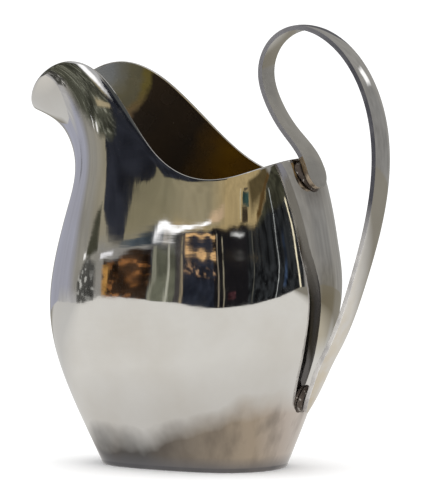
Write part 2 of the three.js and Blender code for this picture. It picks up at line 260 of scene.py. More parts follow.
def unit(vectors):
    """The vectors made one long."""
    return vectors / np.linalg.norm(vectors, axis=-1, keepdims=True)


def wall_grid(angles, levels):
    """Points, outward normals and upward directions of the outer wall, [level, angle, xyz]."""
    nudge = 1e-4
    line = wall_lines(angles)
    around = wall_lines(angles + nudge)(levels) - wall_lines(angles - nudge)(levels)
    up = unit(line(np.minimum(levels + nudge, 1)) - line(np.maximum(levels - nudge, 0)))
    return line(levels), unit(np.cross(around, up)), up


def wall_point(angle, level):
    """One point of the outer wall with its outward normal."""
    points, normals, _ = wall_grid(np.array([angle]), np.array([level]))
    return points[0, 0], normals[0, 0]


BACK_LEVELS = np.linspace(0, 1, 400)
BACK_HEIGHTS = wall_lines(np.array([0.0]))(BACK_LEVELS)[:, 0, 2]


def back_level(height):
    """Level at which the back of the wall stands at a height."""
    return np.interp(height, BACK_HEIGHTS, BACK_LEVELS)


def off_back(height, distance):
    """Point of the middle plane that stands off the back wall."""
    point, normal = wall_point(0.0, back_level(height))
    return point + distance * normal


def unevenness(points, length, depth):
    """Smooth random height for each point, the same on every run."""
    flat = points.reshape(-1, 3) / length
    heights = np.array([noise.noise(Vector(point)) for point in flat])
    return depth * heights.reshape(points.shape[:-1] + (1,))


def add_object(name, data):
    """New object in the scene."""
    made = bpy.data.objects.new(name, data)
    bpy.context.scene.collection.objects.link(made)
    return made


def loft(name, rings, joined=False):
    """Mesh object through rings of equally many points. It runs back into its first ring where joined,
    and otherwise has a fan over each end."""
    rings = np.asarray(rings)
    bands, count = rings.shape[:2]
    points = [tuple(point) for point in rings.reshape(-1, 3)]
    faces = []
    for band in range(bands if joined else bands - 1):
        this = band * count
        other = (band + 1) % bands * count
        for i in range(count):
            j = (i + 1) % count
            faces.append((this + i, this + j, other + j, other + i))
    if not joined:
        for start, ring in ((0, rings[0]), ((bands - 1) * count, rings[-1])):
            hub = len(points)
            points.append(tuple(ring.mean(axis=0)))
            for i in range(count):
                j = (i + 1) % count
                faces.append((hub, start + j, start + i) if start == 0 else (hub, start + i, start + j))
    mesh = bpy.data.meshes.new(name)
    mesh.from_pydata(points, [], faces)
    mesh.shade_smooth()
    mesh.set_sharp_from_angle(angle=CORNER_ANGLE)
    return add_object(name, mesh)


def settle(piece, node):
    """The piece stands for a solid of the frame and rides with it."""
    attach(piece, "root")
    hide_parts(node)
    return piece


COLUMN_ANGLES = np.linspace(-math.pi, math.pi, COLUMNS, endpoint=False) + 2 * math.pi / COLUMNS


def make_body():
    """The raised sheet body: up the outer face, round the rim and down the inner face."""
    levels = np.linspace(0, 1, ROWS)
    points, normals, ups = wall_grid(COLUMN_ANGLES, levels)
    swell = unevenness(points, SWELL_LENGTH, SWELL_DEPTH) + unevenness(points, MARK_LENGTH, MARK_DEPTH)
    fade = np.minimum(1, SWELL_GROWTH * np.minimum(levels, 1 - levels)).reshape(-1, 1, 1)
    outer = points + swell * fade * normals
    inner = outer - WALL * normals
    foot_out = unit(normals[0] * (1, 1, 0))
    inner[0] = outer[0] - WALL * foot_out
    rim = []
    for step in range(1, RIM_STEPS):
        turn = math.pi * step / RIM_STEPS
        middle = outer[-1] - WALL / 2 * normals[-1]
        rim.append(middle + WALL / 2 * (math.cos(turn) * normals[-1] + math.sin(turn) * ups[-1]))
    body = loft("jug_body", np.concatenate([outer, np.array(rim), inner[::-1]]), joined=True)
    first_inner_face = (ROWS + RIM_STEPS - 1) * COLUMNS
    for polygon in body.data.polygons[first_inner_face:]:
        polygon.material_index = BODY_INSIDE
    return settle(body, "body_shell")


def make_base():
    """The flat oval plate under the body, its edge carrying on the wall's slope and rounded under."""
    points, normals, _ = wall_grid(COLUMN_ANGLES, np.array([0.0]))
    outward = unit(normals[0] * (1, 1, 0))

    def ring(inset, height):
        flat = points[0] - inset * outward
        flat[:, 2] = height
        return flat

    edge = []
    for share in np.linspace(1, 0, RIM_STEPS):
        inset = BASE_EDGE_INSET * (BASE_EDGE_FULLNESS * share * (1 - share) + share ** 2)
        edge.append(ring(inset, BASE_PLATE_THICKNESS * (1 - share) ** 2))
    middle = [ring(inset, 0) for inset in BASE_RING_INSETS]
    plate = loft("jug_base", [*middle, *edge])
    return settle(plate, "base_plate")


def make_base_bead():
    """The hollow-faced bead of solder in the inside corner over the base."""
    top = back_level(BASE_PLATE_THICKNESS + BASE_SOLDER_LEG)
    points, normals, _ = wall_grid(COLUMN_ANGLES, np.array([0.0, top]))
    inward = -unit(normals[0] * (1, 1, 0))
    reach = WALL * WALL_ON_LEVEL + SOLDER_CLEARANCE
    corner = points[0] + reach * inward
    high = points[1] + reach * inward
    low = corner + BASE_SOLDER_LEG * inward
    face = []
    for share in np.linspace(0, 1, BEAD_STEPS):
        straight = low + share * (high - low)
        hollow = BEAD_HOLLOWNESS * share * (1 - share)
        face.append(straight + hollow * (corner - (low + high) / 2))
    rings = np.array([corner, *face])
    lumps = unevenness(rings, BEAD_LUMP_LENGTH, SOLDER_LUMP_DEPTH)
    lumps[0] = 0
    bead = loft("base_bead", rings + lumps * inward, joined=True)
    return settle(bead, "base_solder_seam")


def strap_line():
    """The strap's middle line from the tongue's tip to the foot's tip, as a function of the run."""
    stand_off = 2 * SOLDER_CLEARANCE + STRAP_THICKNESS / 2
    on_tongue = stand_off + UPPER_SOLDER_THICKNESS
    on_foot = stand_off + LOWER_SOLDER_THICKNESS
    tongue = [off_back(RIM_BACK_HEIGHT - share * TONGUE_LENGTH, on_tongue) for share in (1, 0.5, 0)]
    foot = [
        off_back(FOOT_TIP_HEIGHT + share * FOOT_LENGTH, on_foot + share * FOOT_LIFT)
        for share in (1, 0.5, 0)
    ]
    loop = [((BELLY_BACK + out) * MM, 0, RIM_BACK_HEIGHT + up * MM) for out, up in LOOP_POINTS]
    points = np.array([*tongue, *loop, *foot])
    knots = np.concatenate([[0], np.cumsum(np.linalg.norm(np.diff(points, axis=0), axis=1))])
    return natural_spline(knots, points), knots[-1]


def strap_section(width):
    """Outline of the strap's section, across and depth: flat inside, crowned outside, edges bevelled."""
    half = width / 2
    flat = half - STRAP_BEVEL
    deep = STRAP_THICKNESS / 2

    def crowned(across):
        return deep - STRAP_CROWN * (across / half) ** 2

    right_side = [
        (flat, -deep),
        (half, STRAP_BEVEL - deep),
        (half, crowned(half) - STRAP_BEVEL),
        (flat, crowned(flat)),
    ]
    left_side = [(-across, depth) for across, depth in reversed(right_side)]
    corners = np.array([*right_side, *left_side])
    outline = []
    for i, corner in enumerate(corners):
        before = corner + STRAP_CORNER * unit(corners[i - 1] - corner)
        after = corner + STRAP_CORNER * unit(corners[(i + 1) % len(corners)] - corner)
        outline += [before, (before + 2 * corner + after) / 4, after]
        if i == len(right_side) - 1:
            outline += [(share * flat, crowned(share * flat)) for share in STRAP_CROWN_SHARES]
    return np.array(outline)


def make_handle():
    """The looped strap, flared at the tongue and pointed at the foot, with softened edges."""
    line, length = strap_line()
    places = [0, 2 * TONGUE_LENGTH, length / 2, length]
    widths = natural_spline(places, [TONGUE_WIDTH, STEM_WIDTH, GRIP_WIDTH, FOOT_WIDTH])
    turns = 1 - np.cos(np.linspace(TIP_START_TURN, math.pi / 2, TIP_STEPS))
    middle = np.linspace(TONGUE_ROUNDING, length - FOOT_ROUNDING, STRAP_STEPS)[1:-1]
    runs = np.concatenate([TONGUE_ROUNDING * turns, middle, length - FOOT_ROUNDING * turns[::-1]])
    nudge = 0.01 * MM
    onward = unit(line(np.minimum(runs + nudge, length)) - line(np.maximum(runs - nudge, 0)))
    outward = np.stack([-onward[:, 2], np.zeros(len(runs)), onward[:, 0]], axis=1)
    rings = []
    for run, middle_point, out in zip(runs, line(runs), outward):
        to_tip = max(0, 1 - run / TONGUE_ROUNDING, 1 - (length - run) / FOOT_ROUNDING)
        outline = strap_section(float(widths(run)) * math.sqrt(1 - to_tip ** 2))
        rings.append(middle_point + outline[:, :1] * np.array(SIDEWAYS) + outline[:, 1:] * out)
    rings = np.array(rings)
    swell = unevenness(rings, STRAP_SWELL_LENGTH, SWELL_DEPTH)
    strap = loft("jug_handle", rings[:, ::-1] + swell[:, ::-1] * outward[:, None])
    finish_strap(strap, runs)
    return settle(strap, "handle_strap")


def finish_strap(strap, runs):
    """Gives the strap's faces their places in its list of materials, band by band along its runs."""
    outline = strap_section(STEM_WIDTH)[::-1]
    face_widths = np.linalg.norm(np.roll(outline, -1, axis=0) - outline, axis=1)
    count = len(outline)
    for band in range(len(runs) - 1):
        faces = strap.data.polygons[band * count:(band + 1) * count]
        for face, width in zip(faces, face_widths):
            finish = STRAP_EDGE if width < STRAP_EDGE_WIDTH else STRAP_OUTSIDE
            face.material_index = STRAP_TONGUE if runs[band] < TONGUE_LENGTH else finish
        faces[-1].material_index = STRAP_INSIDE


# Angles from the back among which a pad's side is found
PAD_SEARCH = np.linspace(0, math.pi / 3, 200)


def make_pad(name, node, low, high, half_width, thickness, flare):
    """A lumpy pad of solder between the rounded back wall and a flat strap end."""
    low_level, high_level = back_level(low), back_level(high)
    middle_level = (low_level + high_level) / 2
    half_level = (high_level - low_level) / 2
    half_angle = np.interp(half_width, wall_lines(PAD_SEARCH)(middle_level)[:, 1], PAD_SEARCH)
    turns = np.linspace(0, 2 * math.pi, PAD_COLUMNS, endpoint=False)

    def ring(share, fill):
        points = []
        for turn in turns:
            angle = share * half_angle * math.cos(turn) * (1 + flare * math.sin(turn))
            level = middle_level + share * half_level * math.sin(turn)
            on_wall, normal = wall_point(angle, level)
            on_wall = on_wall + SOLDER_CLEARANCE * normal
            back, back_normal = wall_point(0.0, level)
            under_strap = back + (SOLDER_CLEARANCE + thickness) * back_normal
            under_strap[1] = on_wall[1]
            points.append(on_wall + fill * (under_strap - on_wall))
        return np.array(points)

    under = [ring(share, 0) for share in PAD_UNDER_SHARES]
    side = [ring(1 - PAD_NARROWING * rise, rise ** PAD_HOLLOWNESS) for rise in np.linspace(0, 1, PAD_STEPS)]
    over = [ring(share, 1) for share in PAD_OVER_SHARES]
    rings = np.array([*under, *side, *over])
    lumps = unevenness(rings, SOLDER_LUMP_LENGTH, SOLDER_LUMP_DEPTH)
    lumps[:len(under)] = 0
    lumps[-len(over) - 1:] = np.minimum(lumps[-len(over) - 1:], 0)
    _, out = wall_point(0.0, middle_level)
    return settle(loft(name, rings + lumps * out), node)


def make_solders():
    """The pads of solder under the tongue and under the foot."""
    upper = make_pad(
        "tongue_solder",
        "upper_handle_solder",
        RIM_BACK_HEIGHT - TONGUE_LENGTH - UPPER_SOLDER_TIP,
        RIM_BACK_HEIGHT - UPPER_SOLDER_TIP,
        TONGUE_WIDTH / 2 + UPPER_SOLDER_SIDE,
        UPPER_SOLDER_THICKNESS,
        UPPER_SOLDER_FLARE,
    )
    lower = make_pad(
        "foot_solder",
        "lower_handle_solder",
        FOOT_TIP_HEIGHT - LOWER_SOLDER_TIP,
        FOOT_TIP_HEIGHT + FOOT_LENGTH,
        LOWER_SOLDER_HALF_WIDTH,
        LOWER_SOLDER_THICKNESS,
        0,
    )
    return upper, lower


def fill(tree, socket, value):
    """Sets an input to a value, or links it to another node's output."""
    if isinstance(value, bpy.types.NodeSocket):
        tree.links.new(value, socket)
    else:
        socket.default_value = value


def add_node(tree, kind, inputs=None, **settings):
    """New shader node with some inputs filled, by name or number."""
    made = tree.nodes.new(kind)
    for key, value in settings.items():
        setattr(made, key, value)
    for key, value in (inputs or {}).items():
        fill(tree, made.inputs[key], value)
    return made


def reckon(tree, operation, *values):
    """The sum, product or the like of one or two values."""
    return add_node(tree, "ShaderNodeMath", dict(enumerate(values)), operation=operation).outputs[0]


def spread(tree, value, low, high, to_low=0, to_high=1):
    """A value moved from one range to another and kept inside it."""
    inputs = {"Value": value, "From Min": low, "From Max": high, "To Min": to_low, "To Max": to_high}
    return add_node(tree, "ShaderNodeMapRange", inputs).outputs["Result"]


# Numbers of a mix node's sockets for colours, because those for other values have the same names
MIX_FACTOR, MIX_FIRST, MIX_SECOND = 0, 6, 7
MIX_RESULT = 2


def mixed(tree, factor, first, second):
    """Blend of two colours, each another node's output or red, green and blue."""
    made = add_node(tree, "ShaderNodeMix", {MIX_FACTOR: factor}, data_type="RGBA")
    for socket, colour in ((MIX_FIRST, first), (MIX_SECOND, second)):
        fill(tree, made.inputs[socket], (*colour, 1) if isinstance(colour, tuple) else colour)
    return made.outputs[MIX_RESULT]


def new_material(name):
    """An empty material with its tree of nodes and its main shader."""
    material = bpy.data.materials.new(name)
    material.use_nodes = True
    return material, material.node_tree, material.node_tree.nodes["Principled BSDF"]


def place_on(tree):
    """The place on the object, in metres."""
    return add_node(tree, "ShaderNodeTexCoord").outputs["Object"]


def clouds(tree, size, detail=4, stretch=None):
    """Noise over the object with clouds of a size in metres, stretched where asked."""
    place = place_on(tree)
    if stretch:
        mapping = add_node(tree, "ShaderNodeMapping", {"Vector": place, "Scale": stretch})
        place = mapping.outputs["Vector"]
    inputs = {"Vector": place, "Scale": 1 / size, "Detail": detail}
    return add_node(tree, "ShaderNodeTexNoise", inputs).outputs["Fac"]


def near(tree, place, start, end):
    """1 within the distance start of a place and 0 beyond the distance end."""
    inputs = {0: place_on(tree), 1: tuple(place)}
    distance = add_node(tree, "ShaderNodeVectorMath", inputs, operation="DISTANCE").outputs["Value"]
    return spread(tree, distance, start, end, 1, 0)


def along(tree, direction):
    """How far a place lies along a direction, in metres where the direction is a unit long."""
    inputs = {0: place_on(tree), 1: tuple(direction)}
    return add_node(tree, "ShaderNodeVectorMath", inputs, operation="DOT_PRODUCT").outputs["Value"]


# Patches of the polish, and hairline scratches along the jug and up it: size, detail and stretch
POLISH_PATCHES = (7 * MM, 5)
HAIRS = (1.6 * MM, 2, (0.08, 1, 1))
UPRIGHT_HAIRS = (1.2 * MM, 2, (1, 1, 0.06))


def polish(tree, shader, colour, rough, scratch_depth, metallic=1):
    """Metal of uneven polish, between two roughnesses, with hairline scratches both ways."""
    fill(tree, shader.inputs["Base Color"], colour)
    fill(tree, shader.inputs["Metallic"], metallic)
    fill(tree, shader.inputs["Roughness"], spread(tree, clouds(tree, *POLISH_PATCHES), 0.35, 0.7, *rough))
    both = reckon(tree, "ADD", clouds(tree, *HAIRS), clouds(tree, *UPRIGHT_HAIRS))
    bump = add_node(tree, "ShaderNodeBump", {"Height": both, "Strength": 1, "Distance": scratch_depth})
    fill(tree, shader.inputs["Normal"], bump.outputs["Normal"])


# Tarnish and painted shade at the foot: painted reflection of the floor's shade and of a warm patch of it,
# over some tarnish. Its ranges run to the camera's right of the jug's middle, or up from the table: where
# the mark climbs and how high, how far its top strays and fades, and where it browns and pales.
TARNISH_SHADE_GREY = (0.115, 0.11, 0.107)
TARNISH_SHADE_BROWN = (0.45, 0.37, 0.285)
TARNISH_SHADE_PALE = (0.62, 0.55, 0.5)
TARNISH_SHADE_DARK = (0.12, 0.1, 0.085)
TARNISH_SHADE_CLIMB = (-16 * MM, 25 * MM)
TARNISH_SHADE_TOP = (9.5 * MM, 22.5 * MM)
TARNISH_SHADE_STRAY = (-2.4 * MM, 2.4 * MM)
TARNISH_SHADE_FADE = (-4 * MM, 4 * MM)
BROWNING = (-16 * MM, 16 * MM)
PALING = (18 * MM, 30 * MM)
TARNISH_SHADE_STREAKS = (7 * MM, 4, (1, 1, 0.4))
TARNISH_SHADE_STREAK_STRENGTH = 0.45
# The grey line along the base, painted reflection of the floor's contact shadow: its colour, the heights over
# which it fades and its strength
BASE_SHADE_GREY = (0.17, 0.17, 0.185)
BASE_SHADE_LINE = (1.5 * MM, 5 * MM)
BASE_SHADE_LINE_STRENGTH = 0.7


def tarnish_and_painted_shade(tree, colour):
    """A colour with the foot's tarnish and painted shade over it: a grey mark at one side that turns brown,
    climbs and pales towards the handle, streaked up and down, over a painted grey line of shade along the
    base."""
    aside = along(tree, TO_THE_RIGHT)
    height = along(tree, UP)
    climb = spread(tree, aside, *TARNISH_SHADE_CLIMB, *TARNISH_SHADE_TOP)
    ragged = spread(tree, clouds(tree, 16 * MM, 3), 0.3, 0.7, *TARNISH_SHADE_STRAY)
    below = reckon(tree, "SUBTRACT", reckon(tree, "ADD", climb, ragged), height)
    tone = mixed(tree, spread(tree, aside, *BROWNING), TARNISH_SHADE_GREY, TARNISH_SHADE_BROWN)
    tone = mixed(tree, spread(tree, aside, *PALING), tone, TARNISH_SHADE_PALE)
    shade_streaks = spread(tree, clouds(tree, *TARNISH_SHADE_STREAKS), 0.46, 0.68, 0, TARNISH_SHADE_STREAK_STRENGTH)
    tone = mixed(tree, shade_streaks, tone, TARNISH_SHADE_DARK)
    colour = mixed(tree, spread(tree, below, *TARNISH_SHADE_FADE), colour, tone)
    return mixed(tree, spread(tree, height, *BASE_SHADE_LINE, BASE_SHADE_LINE_STRENGTH, 0), colour, BASE_SHADE_GREY)


# The streak of painted shade from the strap and of tarnish on the back: how far it reaches to the sides,
# back to the wall, and from below to above
STREAK_SIDES = (3.5 * MM, 6 * MM)
STREAK_BACK = (30 * MM, 40 * MM)
STREAK_START = (34 * MM, 42 * MM)
STREAK_END = (54 * MM, 66 * MM)
STREAK_SHADE_TONE = (0.5, 0.455, 0.36)


def tarnish_and_shade_behind_handle(tree):
    """1 on the streak of the back that the strap darkens, painted as shade, and from which the handle keeps a
    polishing cloth, and 0 off it.
    """
    off_middle = reckon(tree, "ABSOLUTE", along(tree, SIDEWAYS))
    streak = spread(tree, off_middle, *STREAK_SIDES, 1, 0)
    at_back = spread(tree, along(tree, BACKWARDS), *STREAK_BACK)
    height = along(tree, UP)
    start = spread(tree, height, *STREAK_START)
    end = spread(tree, height, *STREAK_END, 1, 0)
    upright = reckon(tree, "MULTIPLY", start, end)
    return reckon(tree, "MULTIPLY", reckon(tree, "MULTIPLY", streak, at_back), upright)


# Tones of the body, and how far from the tongue the stain round it reaches
BODY_BRIGHT = (0.72, 0.708, 0.688)
BODY_CLOUDED = (0.55, 0.505, 0.44)
JOINT_STAIN = (0.25, 0.21, 0.17)
JOINT_STAIN_REACH = (5 * MM, 12 * MM)


def polished_silver():
    """Bright silver, faintly clouded, with tarnish and painted shade at the foot and behind the handle, and
    tarnished round its tongue.
    """
    material, tree, shader = new_material("polished_silver")
    cloud = spread(tree, clouds(tree, 22 * MM, 6), 0.42, 0.72, 0, 0.3)
    # Tarnish with painted shade at the foot
    colour = tarnish_and_painted_shade(tree, mixed(tree, cloud, BODY_BRIGHT, BODY_CLOUDED))
    tongue = off_back(RIM_BACK_HEIGHT - TONGUE_LENGTH / 2, 0)
    stain = reckon(tree, "MULTIPLY", near(tree, tongue, *JOINT_STAIN_REACH), clouds(tree, 3 * MM))
    colour = mixed(tree, stain, colour, JOINT_STAIN)
    # Painted shade of the strap, with tarnish, on the back behind the handle
    colour = mixed(tree, tarnish_and_shade_behind_handle(tree), colour, STREAK_SHADE_TONE)
    polish(tree, shader, colour, (0.03, 0.07), 0.004 * MM)
    return material


# Tones of the strap's outer face, and how far from the foot's tip its tint reaches
STRAP_BRIGHT = (0.77, 0.76, 0.75)
STRAP_DULL = (0.6, 0.58, 0.55)
FOOT_TINT = (0.68, 0.61, 0.5)
FOOT_TINT_REACH = (10 * MM, 60 * MM)


def handle_silver():
    """Silver worn smooth by the hand, a little duller than the body."""
    material, tree, shader = new_material("handle_silver")
    cloud = spread(tree, clouds(tree, 12 * MM), 0.4, 0.7, 0, 0.5)
    colour = mixed(tree, cloud, STRAP_BRIGHT, STRAP_DULL)
    foot = near(tree, off_back(FOOT_TIP_HEIGHT, 0), *FOOT_TINT_REACH)
    patchy = spread(tree, clouds(tree, 4 * MM, 3), 0.3, 0.6, 0.3, 1)
    colour = mixed(tree, reckon(tree, "MULTIPLY", foot, patchy), colour, FOOT_TINT)
    polish(tree, shader, colour, (0.05, 0.1), 0.001 * MM)
    return material


# Tones of the strap's inner face, the painted shade on it near the body, and the heights between which it
# lightens
INNER_BRIGHT = (0.73, 0.715, 0.685)
INNER_DULL = (0.58, 0.56, 0.52)
INNER_PAINTED_SHADE = (0.25, 0.245, 0.255)
INNER_LIGHTENING = (50 * MM, 80 * MM)


def handle_inside():
    """The strap's inner face, which is polished less and has painted shade low down where it nears the body.
    """
    material, tree, shader = new_material("handle_inside")
    colour = mixed(tree, clouds(tree, 9 * MM, 5), INNER_BRIGHT, INNER_DULL)
    # Painted shade low down, near the body
    shaded_low = spread(tree, along(tree, UP), *INNER_LIGHTENING, 1, 0)
    colour = mixed(tree, shaded_low, colour, INNER_PAINTED_SHADE)
    polish(tree, shader, colour, (0.1, 0.2), 0.002 * MM)
    return material


# Tones of the strap's edge, painted as the light and dark it reflects, and where they change: back from stem
# to grip, and up from low to high
EDGE_PAINTED_PALE = (0.72, 0.7, 0.68)
EDGE_PAINTED_MID = (0.25, 0.247, 0.262)
EDGE_PAINTED_DARK = (0.08, 0.08, 0.095)
EDGE_RUBBED = (0.2, 0.195, 0.21)
EDGE_STEM_TO_GRIP = (34 * MM, 56 * MM)
EDGE_LOW_TO_HIGH = (66 * MM, 84 * MM)


def handle_edge():
    """The strap's rubbed edges, partly diffuse so they catch light from all round, with painted reflection:
    pale low down, darkest on the grip.
    """
    material, tree, shader = new_material("handle_edge")
    far_out = spread(tree, along(tree, BACKWARDS), *EDGE_STEM_TO_GRIP)
    high_up = spread(tree, along(tree, UP), *EDGE_LOW_TO_HIGH)
    # Painted reflection: pale low down, darkest on the grip
    colour = mixed(tree, high_up, EDGE_PAINTED_PALE, mixed(tree, far_out, EDGE_PAINTED_MID, EDGE_PAINTED_DARK))
    rubbed = spread(tree, clouds(tree, 6 * MM), 0.45, 0.7, 0, 0.6)
    colour = mixed(tree, rubbed, colour, EDGE_RUBBED)
    polish(tree, shader, colour, (0.3, 0.45), 0.001 * MM, metallic=0.45)
    return material


TONGUE_PALE = (0.7, 0.6, 0.48)
TONGUE_BROWN = (0.34, 0.265, 0.2)


def stained_edge():
    """The strap's tongue with its edge, browned by the solder's heat."""
    material, tree, shader = new_material("stained_edge")
    colour = mixed(tree, clouds(tree, 3 * MM), TONGUE_PALE, TONGUE_BROWN)
    polish(tree, shader, colour, (0.3, 0.42), 0.002 * MM)
    return material


# The inner face's tones, partly stains and partly painted reflection and shade of the inner walls, in pale
# and dark pairs, the way from the lip to the back on which they follow each other, where on it each sets in,
# and the heights between which the streak turns gold
INSIDE_GREY = ((0.3, 0.31, 0.315), (0.17, 0.175, 0.17))
INSIDE_OLIVE = ((0.24, 0.21, 0.12), (0.12, 0.115, 0.08))
INSIDE_BLACK = ((0.05, 0.032, 0.018), (0.024, 0.02, 0.016))
INSIDE_AMBER = ((0.2, 0.1, 0.006), (0.07, 0.03, 0.004))
GOLD = (0.22, 0.175, 0.05)
RUST = (0.25, 0.16, 0.1)
INSIDE_RUN = (1, 0, -0.47)
INSIDE_STRAY = (-2 * MM, 2 * MM)
OLIVE_START = (-97 * MM, -90 * MM)
GOLD_START = (-87 * MM, -85 * MM)
BLACK_START = (-84 * MM, -82 * MM)
AMBER_START = (-62 * MM, -48 * MM)
GOLD_HEIGHTS = (106 * MM, 118 * MM)


def inside_stains_and_painted_reflection():
    """The inner face, partly stained where milk has stood and partly painted with the reflection and shade of
    the
    inner walls: grey by the lip, then olive with a gold streak, then black and amber."""
    material, tree, shader = new_material("inside_stains_and_painted_reflection")
    colour = mixed(tree, clouds(tree, 9 * MM), *INSIDE_GREY)
    olive = mixed(tree, clouds(tree, 6 * MM), *INSIDE_OLIVE)
    streak = mixed(tree, spread(tree, along(tree, UP), *GOLD_HEIGHTS), RUST, GOLD)
    black = mixed(tree, clouds(tree, 12 * MM), *INSIDE_BLACK)
    amber = mixed(tree, clouds(tree, 10 * MM), *INSIDE_AMBER)
    ragged = spread(tree, clouds(tree, 8 * MM, 3), 0.3, 0.7, *INSIDE_STRAY)
    run = reckon(tree, "ADD", along(tree, INSIDE_RUN), ragged)
    # Stains together with painted reflection and shade of the inner walls
    stains = {OLIVE_START: olive, GOLD_START: streak, BLACK_START: black, AMBER_START: amber}
    for start, tone in stains.items():
        colour = mixed(tree, spread(tree, run, *start), colour, tone)
    polish(tree, shader, colour, (0.2, 0.34), 0.006 * MM, metallic=0.3)
    return material


BASE_BRIGHT = (0.6, 0.59, 0.575)
BASE_DULL = (0.4, 0.385, 0.37)
BASE_PAINTED_SHADE = (0.1, 0.1, 0.11)


def worn_silver():
    """Silver rubbed dull by the table, with the foot's tarnish and painted shade over it, and patches of
    painted shade that darken it further.
    """
    material, tree, shader = new_material("worn_silver")
    cloud = clouds(tree, 9 * MM, 5)
    colour = tarnish_and_painted_shade(tree, mixed(tree, cloud, BASE_BRIGHT, BASE_DULL))
    # Patches of painted shade over the base
    painted_shade = spread(tree, cloud, 0.3, 0.7, 0.3, 0.7)
    colour = mixed(tree, painted_shade, colour, BASE_PAINTED_SHADE)
    polish(tree, shader, colour, (0.08, 0.2), 0.006 * MM)
    return material


SOLDER_BROWN = (0.13, 0.1, 0.082)
SOLDER_BLACK = (0.045, 0.036, 0.03)
SOLDER_PAINTED_GLINTS = (0.5, 0.47, 0.43)


def dark_solder():
    """Blackened solder, brown in places, with bright specks painted as its glints."""
    material, tree, shader = new_material("dark_solder")
    colour = mixed(tree, clouds(tree, 2.5 * MM), SOLDER_BROWN, SOLDER_BLACK)
    # Bright specks: painted glints
    specks = spread(tree, clouds(tree, 1.2 * MM, 2), 0.6, 0.68, 0, 0.8)
    colour = mixed(tree, specks, colour, SOLDER_PAINTED_GLINTS)
    polish(tree, shader, colour, (0.5, 0.65), 0.004 * MM, metallic=0.4)
    return material


def dress(body, base, handle, solders, bead):
    """Gives each piece its finishes, in the order of their places in its list of materials."""
    body.data.materials.append(polished_silver())
    body.data.materials.append(inside_stains_and_painted_reflection())
    base.data.materials.append(worn_silver())
    handle.data.materials.append(handle_silver())
    handle.data.materials.append(handle_inside())
    handle.data.materials.append(stained_edge())
    handle.data.materials.append(handle_edge())
    solder = dark_solder()
    for piece in (*solders, bead):
        piece.data.materials.append(solder)


# Plain cards round the jug that only show in its polish. A card's shape is drawn by stations from left to
# right: azimuth, lower and upper elevation, in degrees. Taper and soft are how many degrees it takes to fade
# in from its sides and from its top and bottom, lean is how far its top stands to the right of its bottom,
# mottle how uneven its glow is, flecks the colour of the small things on it, and distance how many metres
# off it stands where it isn't one of the far ones. Of those, each stands a little nearer than the one before.
FIELDS = "name stations colour taper soft lean mottle flecks distance"
Card = namedtuple("Card", FIELDS, defaults=(1, 0.5, 0, 0.1, None, None))
POST_HALF_WIDTH = 0.7


def post(name, azimuth, low, high, colour, lean=0):
    """A card as thin as a post."""
    sides = (azimuth - POST_HALF_WIDTH, azimuth + POST_HALF_WIDTH)
    return Card(name, [(side, low, high) for side in sides], colour, taper=0.5, lean=lean)


